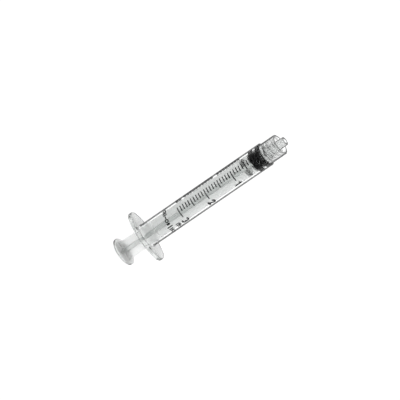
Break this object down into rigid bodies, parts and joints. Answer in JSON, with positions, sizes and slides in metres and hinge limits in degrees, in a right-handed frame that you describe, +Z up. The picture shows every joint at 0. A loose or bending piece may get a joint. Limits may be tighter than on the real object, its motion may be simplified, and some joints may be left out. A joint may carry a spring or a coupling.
{
  "type": "luer-lock syringe",
  "caption": "Small clear syringe with a graduated barrel, oval finger flange, threaded locking collar around a tapered tip, and a sliding plunger with a black rubber stopper.",
  "frame": {"origin": "under the middle of the syringe's length, at the height of the lowest point of the finger flange and the thumb disc", "axes": "+X along the barrel towards the tip, +Y along the long axis of the finger flange, +Z up, with the graduation on top"},
  "size_m": [0.0926, 0.0248, 0.0134],
  "materials": {
    "clear_plastic": "clear polypropylene, slightly hazy, glossy",
    "frosted_plastic": "translucent natural polypropylene, satin",
    "black_rubber": "smooth rubber with a thin film of silicone oil",
    "ink": "dry printed ink"
  },
  "bodies": {
    "barrel": {"barrel": "clear_plastic", "whole_lines": "ink", "half_lines": "ink", "tenth_lines": "ink", "numerals": "ink", "unit_mark": "ink", "notice_band": "ink", "side_strip": "ink"},
    "stopper": {"stopper": "black_rubber"},
    "rod": {"plunger_rod": "frosted_plastic"}
  },
  "joints": [
    {"name": "plunger_slide", "type": "slide", "parent": "barrel", "child": "stopper", "axis": [-1, 0, 0], "range_m": [0, 0.0549]},
    {"name": "rod_spin", "type": "hinge", "parent": "stopper", "child": "rod", "pos_m": [0, 0, 0.0067], "axis": [1, 0, 0], "continuous": true}
  ]
}
